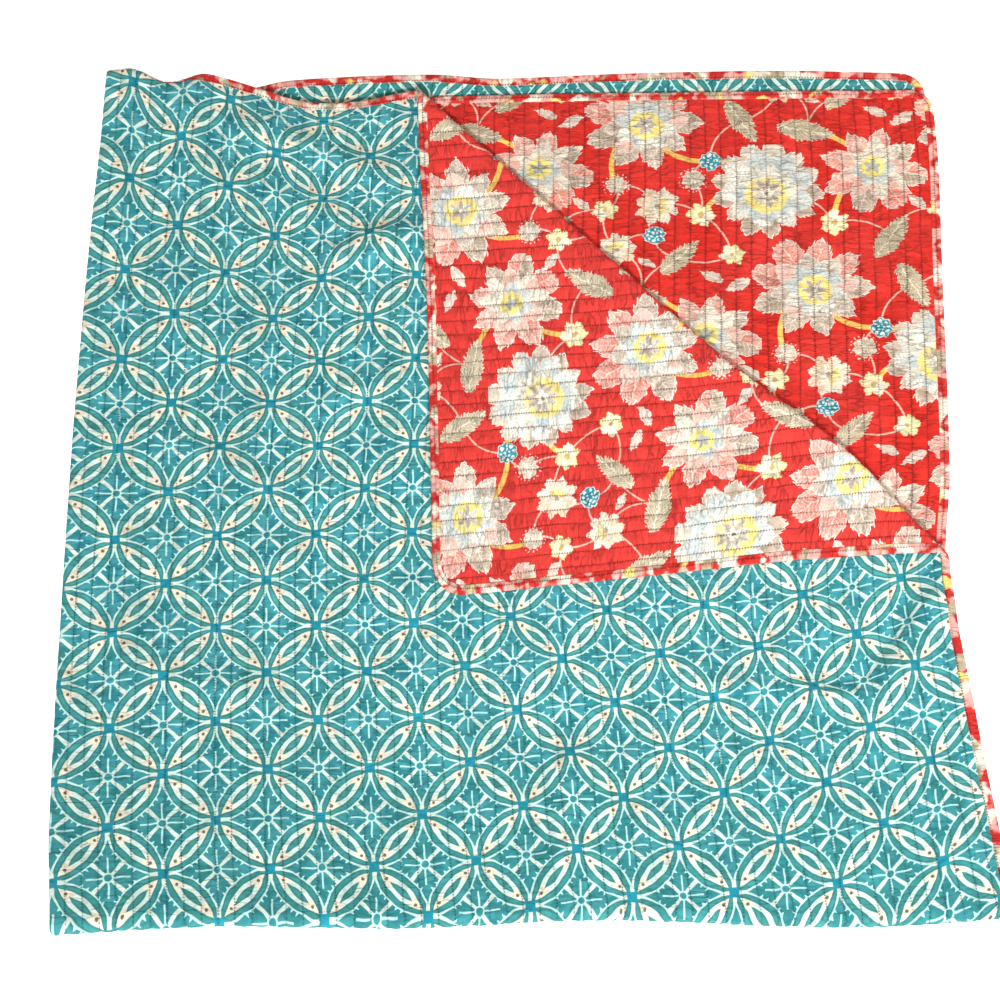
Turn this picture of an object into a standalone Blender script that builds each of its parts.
"""A reversible cotton quilt, folded in quarters, with the top corner turned back.

The quilt is drawn flat first. Across the cloth, u runs from the left crease; along it, v runs from the
bottom crease; n is the height over the middle of the sheet, positive on the teal side. Every piece is laid
out on that flat pattern and then carried through the same folds: over the left crease, over the bottom
crease, and over the diagonal crease of the turned-back corner. Units are metres and +Z is up.
"""
import math

import bmesh
import bpy
from mathutils import Vector
from mathutils.geometry import delaunay_2d_cdt

# Cloth as cut
TOP_WIDTH = 1.140
BACK_WIDTH = 1.105
HALF_LENGTH = 1.200
TOP_CORNER = 0.048
BACK_CORNER = 0.030

# Plies, quilting rows and binding
PLY = 0.0018
EDGE_PLY = 0.0010
PLY_GAP = 0.0003
ROW_PITCH = 0.020
ROW_RISE = 0.0005
BINDING_REACH = 0.010
BINDING_CLOTH = 0.0005
BINDING_PLAY = 0.0003
BINDING_SLACK = 0.0010
BINDING_NOSE = 0.0008
EDGE_FLAT = BINDING_REACH
EDGE_EASE = 0.020

# Folds
LAYER_PITCH = 0.0050
FOLD_EASE = 0.0012
FOLD_EASE_REACH = 0.060
SIDE_BEND = 0.006
FRONT_BEND = 0.011
EAR_SWELL = 0.0030
EAR_ACROSS = 0.020
EAR_SPREAD = 0.050
EAR_DEPTH = 0.080

# Turned-back corner
CREASE_START = Vector((-0.105, 0.600))
CREASE_END = Vector((0.563, -0.091))
CREASE_ROLL = 0.005
FLAP_LIFT = 0.0053
FLAP_SETTLE = 0.060
CREASE_BOW = 0.017
BOW_CENTRE = 0.77
BOW_LENGTH = 0.13
BOW_FADE = 0.20

# Outline on the surface, as (distance from the crease, place)
LEFT_EDGE = ((0.0, -0.530), (0.12, -0.538), (0.40, -0.541), (0.86, -0.537), (1.20, -0.523))
FRONT_EDGE = (
    (0.0, -0.571), (0.20, -0.562), (0.42, -0.564), (0.65, -0.554), (0.94, -0.563), (1.14, -0.552),
)
TOP_LAYER_END = (
    (0.0, 0.640), (0.03, 0.642), (0.07, 0.622), (0.105, 0.629), (0.14, 0.625), (0.20, 0.603),
    (0.26, 0.584), (0.32, 0.585), (0.38, 0.599), (0.43, 0.602), (0.74, 0.576), (1.14, 0.551),
)
SECOND_LAYER_END = (
    (0.0, 0.640), (0.03, 0.638), (0.07, 0.618), (0.14, 0.619), (0.20, 0.597), (0.26, 0.579),
    (0.32, 0.580), (0.40, 0.595), (0.60, 0.602), (0.95, 0.607), (1.105, 0.609),
)
LOWER_LAYERS_END = (
    (0.0, 0.598), (0.10, 0.600), (0.18, 0.612), (0.24, 0.627), (0.43, 0.637), (0.52, 0.631),
    (0.70, 0.639), (0.90, 0.643), (1.02, 0.641), (1.14, 0.636),
)
SECOND_LAYER_SIDE = (
    (0.0, 0.580), (0.25, 0.567), (0.42, 0.556), (0.50, 0.559), (0.60, 0.570), (0.90, 0.578), (1.08, 0.583),
    (1.20, 0.580),
)
THIRD_LAYER_SIDE = ((0.0, 0.580), (0.25, 0.566), (0.42, 0.554), (0.52, 0.556), (0.70, 0.568), (1.20, 0.572))
FOURTH_LAYER_SIDE = ((0.0, 0.609), (0.20, 0.576), (0.42, 0.554), (0.52, 0.556), (0.70, 0.567), (1.20, 0.570))
TOP_SIDE_NECK = 0.560
TOP_SIDE_FLARE = 0.128
TOP_SIDE_NECK_AT = 0.48
TOP_SIDE_ROUND = 0.08
UPPER_LEVEL = 0.605
LOWER_LEVEL = 0.635
SAG_POWER = 4

# Spacing of the lines that shape the faces
FINE_COLUMN = ROW_PITCH / 2.0
NEAR_COLUMN = 0.020
WIDE_COLUMN = 0.060
NEAR_CREASE_WIDTH = 0.120
SHAPED_TOP_WIDTH = 0.460
RED_SHOWS_FROM = 0.400
CORNER_STEPS = 5
BEND_STEPS = 4
CREASE_LINES = (-1.0, -0.5, 0.0, 0.5, 1.0)
CREASE_SAMPLES = 14
CREASE_MARGIN = 0.0025
CREASE_SEARCH_FROM = 0.1
HALVINGS = 40
WELD = 1e-5
SAME_PLACE = 1e-6

COLOURS = {
    "teal_face": (0.045, 0.330, 0.340),
    "red_back": (0.700, 0.035, 0.030),
    "binding": (0.620, 0.090, 0.060),
}
CLOTH_ROUGHNESS = 0.85

THICKNESS = 2.0 * PLY + PLY_GAP
HALF_ARC = math.pi * CREASE_ROLL / 2.0
CREASE_WAY = (CREASE_END - CREASE_START).normalized()
CREASE_OUT = Vector((-CREASE_WAY.y, CREASE_WAY.x))


def along(table, distance):
    """Read a smooth curve through the table's points at a distance."""
    distance = min(max(distance, table[0][0]), table[-1][0])
    index = 0
    while index < len(table) - 2 and distance > table[index + 1][0]:
        index += 1
    start, end = table[index], table[index + 1]
    before = table[max(index - 1, 0)]
    after = table[min(index + 2, len(table) - 1)]
    span = end[0] - start[0]
    slope_in = (end[1] - before[1]) / (end[0] - before[0])
    slope_out = (after[1] - start[1]) / (after[0] - start[0])
    t = (distance - start[0]) / span
    return (
        (2 * t**3 - 3 * t**2 + 1) * start[1]
        + (t**3 - 2 * t**2 + t) * span * slope_in
        + (3 * t**2 - 2 * t**3) * end[1]
        + (t**3 - t**2) * span * slope_out
    )


def ease(value):
    """Smooth step from 0 to 1."""
    value = min(max(value, 0.0), 1.0)
    return value * value * (3.0 - 2.0 * value)


def side_edge(u, v, up):
    """Place of the right edge of the layer that (u, v) belongs to."""
    if u >= 0.0 and v >= 0.0:
        rise = math.hypot(up - TOP_SIDE_NECK_AT, TOP_SIDE_ROUND) - TOP_SIDE_ROUND
        return TOP_SIDE_NECK + TOP_SIDE_FLARE * rise
    if v >= 0.0:
        return along(SECOND_LAYER_SIDE, up)
    return along(THIRD_LAYER_SIDE if u < 0.0 else FOURTH_LAYER_SIDE, up)


def top_end(u, v, across):
    """Place of the far end of the layer that (u, v) belongs to."""
    if v < 0.0:
        return along(LOWER_LAYERS_END, across)
    return along(TOP_LAYER_END if u >= 0.0 else SECOND_LAYER_END, across)


def plan(u, v, across, up):
    """Put a point of the folded slab on the surface, within the layer's uneven outline."""
    across_now, up_now = max(across, 0.0), max(up, 0.0)
    width = (TOP_WIDTH if u >= 0.0 else BACK_WIDTH) - SIDE_BEND
    length = HALF_LENGTH - FRONT_BEND
    left, front = along(LEFT_EDGE, up_now), along(FRONT_EDGE, across_now)
    level = UPPER_LEVEL if v >= 0.0 else LOWER_LEVEL
    x = left + min(across, 0.0) + across_now * (side_edge(u, v, up_now) - left) / width
    y = front + min(up, 0.0) + up_now * (level - front) / length
    y += (top_end(u, v, across_now) - level) * (up_now / length) ** SAG_POWER
    return x, y


def turn_corner(x, y, middle, n):
    """Carry the top layer over the diagonal crease."""
    offset = Vector((x, y)) - CREASE_START
    run, beyond = offset.dot(CREASE_WAY), offset.dot(CREASE_OUT)
    z = middle + n
    if beyond > HALF_ARC:
        drop = min((beyond - HALF_ARC) / FLAP_SETTLE, 1.0)
        z = middle + 2.0 * CREASE_ROLL - (2.0 * CREASE_ROLL - FLAP_LIFT) * drop - n
        beyond = -beyond
    elif beyond > -HALF_ARC:
        angle = (beyond + HALF_ARC) / CREASE_ROLL
        z = middle + CREASE_ROLL - (CREASE_ROLL - n) * math.cos(angle)
        beyond = -HALF_ARC + (CREASE_ROLL - n) * math.sin(angle)
    bow = CREASE_BOW * math.exp(-((run - BOW_CENTRE) / BOW_LENGTH) ** 2)
    beyond += bow * math.exp(-((beyond / BOW_FADE) ** 2))
    place = CREASE_START + CREASE_WAY * run + CREASE_OUT * beyond
    return Vector((place.x, place.y, z))


def fold(u, v, n):
    """Carry a point of the flat quilt to its place in the folded one."""
    across, up = max(abs(u) - SIDE_BEND, 0.0), max(abs(v) - FRONT_BEND, 0.0)
    side_angle = math.pi / 2.0 * min(max(u / SIDE_BEND, -1.0), 1.0)
    front_angle = math.pi / 2.0 * min(max(v / FRONT_BEND, -1.0), 1.0)
    half = LAYER_PITCH / 2.0 + FOLD_EASE * math.exp(-across / FOLD_EASE_REACH)
    turn = half + LAYER_PITCH / 2.0 + FOLD_EASE * math.exp(-up / FOLD_EASE_REACH)
    swell = 0.0
    if v > 0.0:
        swell = EAR_SWELL * math.exp(-(((across - EAR_ACROSS) / EAR_SPREAD) ** 2))
        swell *= math.exp(-(((HALF_LENGTH - v) / EAR_DEPTH) ** 2))
    height = swell + (half + swell + n) * math.sin(side_angle)
    inward = -(half + swell + n) * math.cos(side_angle)
    base = turn + half + THICKNESS / 2.0
    z = base + (turn + height) * math.sin(front_angle)
    forward = -(turn + height) * math.cos(front_angle)
    x, y = plan(u, v, across + inward, up + forward)
    if u > SIDE_BEND and v > FRONT_BEND:
        return turn_corner(x, y, z - n, n)
    return Vector((x, y, z))


def beyond_crease(u, v):
    """Distance of a point of the top layer beyond the diagonal crease, before it is turned."""
    across, up = abs(u) - SIDE_BEND, abs(v) - FRONT_BEND
    return (Vector(plan(u, v, across, up)) - CREASE_START).dot(CREASE_OUT)


def first_past(test, low, high):
    """The place between low and high where a test first holds, found by halving."""
    for _ in range(HALVINGS):
        middle = (low + high) / 2.0
        if test(middle):
            high = middle
        else:
            low = middle
    return low


def crease_across(v, distance):
    """Where a line at a distance beyond the diagonal crease crosses a height v of the flat cloth."""
    return first_past(lambda u: beyond_crease(u, v) > distance, CREASE_SEARCH_FROM, TOP_WIDTH)


def crease_line(distance):
    """Points on the flat cloth that lie a distance beyond the diagonal crease."""
    points = []
    top = HALF_LENGTH + 2.0 * EDGE_FLAT
    first = crease_across(HALF_LENGTH + EDGE_FLAT, distance)
    for step in range(CREASE_SAMPLES + 1):
        u = first + (TOP_WIDTH + EDGE_FLAT - first) * step / CREASE_SAMPLES
        v = first_past(lambda place: beyond_crease(u, place) > distance, CREASE_SEARCH_FROM, top)
        points.append((u, v))
    return points


def clears_crease(u):
    """Whether a column reaches the cloth's far end clear of the diagonal crease."""
    first = crease_across(HALF_LENGTH, -HALF_ARC) - CREASE_MARGIN
    last = crease_across(HALF_LENGTH - EDGE_EASE, HALF_ARC) + CREASE_MARGIN
    return not first < u < last


def half_size(u):
    """Half width and corner radius of the half of the cloth that u lies on."""
    return (TOP_WIDTH, TOP_CORNER) if u >= 0.0 else (BACK_WIDTH, BACK_CORNER)


def outward(u, v):
    """Vector from the nearest straight-edged core of the flat cloth out to a point near its edge."""
    width, corner = half_size(u)
    out_u = math.copysign(max(abs(u) - (width - corner), 0.0), u)
    out_v = math.copysign(max(abs(v) - (HALF_LENGTH - corner), 0.0), v)
    return Vector((out_u, out_v))


def edge_distance(u, v):
    """Distance from a point of the flat cloth to its edge."""
    width, corner = half_size(u)
    inside = max(abs(u) - (width - corner), abs(v) - (HALF_LENGTH - corner))
    return corner - outward(u, v).length - min(inside, 0.0)


def spaced(start, end, step):
    """Places from start to end, a step apart on the cloth's own count from zero."""
    first = math.ceil(start / step - SAME_PLACE)
    last = math.floor(end / step + SAME_PLACE)
    return [step * index for index in range(first, last + 1)]


def is_new(place, others):
    """Whether a column isn't there already."""
    return all(abs(place - other) > SAME_PLACE for other in others)


def column_places(sign, rows_from):
    """Columns of one half: whole ones, short ones at the shaped end, and those of the stitch rows."""
    width, corner = half_size(sign)
    end = width - corner - FINE_COLUMN / 2.0
    whole = spaced(WIDE_COLUMN, end, WIDE_COLUMN)
    rows = spaced(rows_from, end, FINE_COLUMN) if rows_from is not None else []
    rows = [place for place in rows if is_new(place, whole)]
    short = spaced(FINE_COLUMN, NEAR_CREASE_WIDTH, FINE_COLUMN)
    short += spaced(NEAR_CREASE_WIDTH + NEAR_COLUMN, SHAPED_TOP_WIDTH, NEAR_COLUMN)
    short = [place for place in short if is_new(place, whole + rows)]
    return [[sign * place for place in places] for places in (whole, short, rows)]


def corner_points(sign_u, sign_v, inset):
    """Points of one rounded corner, from the long end round to the side."""
    width, corner = half_size(sign_u)
    points = []
    for step in range(CORNER_STEPS + 1):
        angle = math.pi / 2.0 * step / CORNER_STEPS
        across = width - corner + (corner - inset) * math.sin(angle)
        up = HALF_LENGTH - corner + (corner - inset) * math.cos(angle)
        points.append((sign_u * across, sign_v * up))
    return points


def edge_loop(inset, far_places, near_places, levels):
    """Closed line an inset inside the cloth's edge, with points where the folds and columns meet it."""
    length = HALF_LENGTH - inset
    points = [(u, length) for u in far_places] + corner_points(1.0, 1.0, inset)
    points += [(TOP_WIDTH - inset, level) for level in reversed(levels)]
    points += list(reversed(corner_points(1.0, -1.0, inset)))
    points += [(u, -length) for u in reversed(near_places)] + corner_points(-1.0, -1.0, inset)
    points += [(-BACK_WIDTH + inset, level) for level in levels]
    return points + list(reversed(corner_points(-1.0, 1.0, inset)))


def flat_pattern(top_rows_from, back_rows_from, rows_end, outline_inset=0.0, insets=(EDGE_FLAT, EDGE_EASE)):
    """Points and triangles of the flat cloth, cut along its columns, bends, edges and crease."""
    bends = [SIDE_BEND * (2.0 * step / BEND_STEPS - 1.0) for step in range(BEND_STEPS + 1)]
    right, right_short, right_rows = column_places(1.0, top_rows_from)
    left, left_short, left_rows = column_places(-1.0, back_rows_from)
    whole = sorted(left + bends + right)
    short, rows = left_short + right_short, left_rows + right_rows
    levels = [FRONT_BEND * (2.0 * step / BEND_STEPS - 1.0) for step in range(BEND_STEPS + 1)]
    levels += [FOLD_EASE_REACH, -FOLD_EASE_REACH, HALF_LENGTH / 2.0, HALF_LENGTH - EAR_DEPTH]
    levels.sort()
    length = HALF_LENGTH - outline_inset
    tops = {u: length if clears_crease(u) else HALF_LENGTH - EAR_DEPTH for u in whole + short + rows}
    far_places = sorted(u for u in tops if tops[u] == length)
    outline = edge_loop(outline_inset, far_places, whole, levels)
    lines = [((u, -length), (u, tops[u])) for u in whole]
    lines += [((u, HALF_LENGTH - EAR_DEPTH), (u, length)) for u in short if tops[u] == length]
    lines += [((u, rows_end), (u, tops[u])) for u in rows]
    lines += [
        ((-BACK_WIDTH + outline_inset, level), (TOP_WIDTH - outline_inset, level)) for level in levels
    ]
    for inset in insets:
        points = edge_loop(inset, [u for u in far_places if u not in rows], whole, levels)
        lines += list(zip(points, points[1:] + points[:1]))
    distances = [HALF_ARC * part for part in CREASE_LINES] + [HALF_ARC + FLAP_SETTLE]
    for distance in distances:
        points = crease_line(distance)
        lines += list(zip(points, points[1:]))
    points = [Vector(point) for point in outline]
    edges = [(index, (index + 1) % len(outline)) for index in range(len(outline))]
    for start, end in lines:
        edges.append((len(points), len(points) + 1))
        points += [Vector(start), Vector(end)]
    found = delaunay_2d_cdt(points, edges, [], 1, WELD)
    return found[0], found[2]


def close_wall(bm, outer, inner):
    """Join two rims, each a list of (angle, vertex), with a strip of triangles."""
    i = j = 0
    while i < len(outer) or j < len(inner):
        here, there = outer[i % len(outer)], inner[j % len(inner)]
        next_outer = outer[i + 1][0] if i + 1 < len(outer) else outer[0][0] + 2.0 * math.pi
        next_inner = inner[j + 1][0] if j + 1 < len(inner) else inner[0][0] + 2.0 * math.pi
        if i < len(outer) and (j >= len(inner) or next_outer <= next_inner):
            i += 1
            corner = outer[i % len(outer)][1]
        else:
            j += 1
            corner = inner[j % len(inner)][1]
        bm.faces.new((here[1], there[1], corner))


def surface(bm, pattern, height):
    """Lay a face on the flat pattern at a height, and return its vertices."""
    points, triangles = pattern
    verts = [bm.verts.new((p.x, p.y, height(p.x, p.y))) for p in points]
    for triangle in triangles:
        bm.faces.new([verts[index] for index in triangle])
    return verts


def rim(verts):
    """A face's border vertices, each with its angle round the flat cloth."""
    border = [vert for vert in verts if any(edge.is_boundary for edge in vert.link_edges)]
    return sorted(((math.atan2(v.co.y, v.co.x), v) for v in border), key=lambda pair: pair[0])


def outer_height(rows_from_top, rows_from_back):
    """Height of a ply's outer face: thin under the binding, ribbed between stitch rows."""
    def height(u, v):
        full = ease((edge_distance(u, v) - EDGE_FLAT) / (EDGE_EASE - EDGE_FLAT))
        value = PLY_GAP / 2.0 + EDGE_PLY + (PLY - EDGE_PLY) * full
        start = rows_from_top if u >= 0.0 else rows_from_back
        ribbed = start is not None and abs(u) >= start - SAME_PLACE and v > 0.0
        if ribbed:
            value -= ROW_RISE * full * (1.0 + math.cos(2.0 * math.pi * u / ROW_PITCH))
        return value
    return height


def finish(name, bm):
    """Fold a flat piece, close it and give it its object and material."""
    bmesh.ops.delete(bm, geom=[vert for vert in bm.verts if not vert.link_faces], context="VERTS")
    for vert in bm.verts:
        vert.co = fold(*vert.co)
    bmesh.ops.recalc_face_normals(bm, faces=bm.faces[:])
    if bm.calc_volume(signed=True) < 0.0:
        bmesh.ops.reverse_faces(bm, faces=bm.faces[:])
    mesh = bpy.data.meshes.new(name)
    bm.to_mesh(mesh)
    bm.free()
    piece = bpy.data.objects.new(name, mesh)
    bpy.context.scene.collection.objects.link(piece)
    material = bpy.data.materials.new(name + "_cloth")
    material.use_nodes = True
    shader = material.node_tree.nodes["Principled BSDF"]
    shader.inputs["Base Color"].default_value = (*COLOURS[name], 1.0)
    shader.inputs["Roughness"].default_value = CLOTH_ROUGHNESS
    mesh.materials.append(material)
    return piece


def make_ply(name, side, top_rows_from, back_rows_from, rows_end):
    """One cloth of the quilt: side is +1 for the teal face and -1 for the red back."""
    bm = bmesh.new()
    outer = outer_height(top_rows_from, back_rows_from)
    shown = flat_pattern(top_rows_from, back_rows_from, rows_end)
    plain = flat_pattern(None, None, rows_end)
    outer_rim = rim(surface(bm, shown, lambda u, v: side * outer(u, v)))
    inner_rim = rim(surface(bm, plain, lambda u, v: side * PLY_GAP / 2.0))
    close_wall(bm, outer_rim, inner_rim)
    return finish(name, bm)


def edge_pattern(inset):
    """The part of the flat pattern that the binding covers, out to an inset."""
    points, triangles = flat_pattern(None, None, 0.0, inset, (BINDING_REACH,))
    covered = []
    for triangle in triangles:
        middle = sum((points[index] for index in triangle), Vector((0.0, 0.0))) / 3.0
        if edge_distance(middle.x, middle.y) < BINDING_REACH:
            covered.append(triangle)
    return points, covered


def part_rims(verts):
    """Split the border of a strip into its inner and its outer rim."""
    inner, outer = [], []
    for angle, vert in rim(verts):
        near = edge_distance(vert.co.x, vert.co.y) > BINDING_REACH / 2.0
        (inner if near else outer).append((angle, vert))
    return inner, outer


def make_binding():
    """The folded strip that wraps the quilt's edge all round: two limbs joined by a nose."""
    bm = bmesh.new()
    inside = PLY_GAP / 2.0 + EDGE_PLY + BINDING_PLAY
    outside = inside + BINDING_CLOTH
    hollow, shell = edge_pattern(-BINDING_SLACK), edge_pattern(-BINDING_SLACK - BINDING_CLOTH)
    shell_top = part_rims(surface(bm, shell, lambda u, v: outside))
    hollow_top = part_rims(surface(bm, hollow, lambda u, v: inside))
    hollow_base = part_rims(surface(bm, hollow, lambda u, v: -inside))
    shell_base = part_rims(surface(bm, shell, lambda u, v: -outside))
    nose = []
    for angle, vert in shell_top[1]:
        place = vert.co + outward(vert.co.x, vert.co.y).normalized().to_3d() * BINDING_NOSE
        nose.append((angle, bm.verts.new((place.x, place.y, 0.0))))
    close_wall(bm, shell_top[0], hollow_top[0])
    close_wall(bm, hollow_base[0], shell_base[0])
    close_wall(bm, hollow_top[1], hollow_base[1])
    close_wall(bm, nose, shell_top[1])
    close_wall(bm, shell_base[1], nose)
    return finish("binding", bm)


def centre(pieces):
    """Move the pieces so that the middle of the whole outline is over the origin."""
    corners = [vert.co for piece in pieces for vert in piece.data.vertices]
    middle_x = (min(c.x for c in corners) + max(c.x for c in corners)) / 2.0
    middle_y = (min(c.y for c in corners) + max(c.y for c in corners)) / 2.0
    lowest = min(c.z for c in corners)
    for corner in corners:
        corner.x -= middle_x
        corner.y -= middle_y
        corner.z -= lowest


def main():
    """Clear the scene and build the quilt's three cut pieces, folded."""
    for old in list(bpy.data.objects):
        bpy.data.objects.remove(old, do_unlink=True)
    pieces = [
        make_ply("teal_face", 1.0, FINE_COLUMN, None, -FRONT_BEND),
        make_ply("red_back", -1.0, RED_SHOWS_FROM, RED_SHOWS_FROM, FRONT_BEND),
        make_binding(),
    ]
    centre(pieces)
    for piece in pieces:
        print(piece.name, len(piece.data.polygons), "faces")


main()
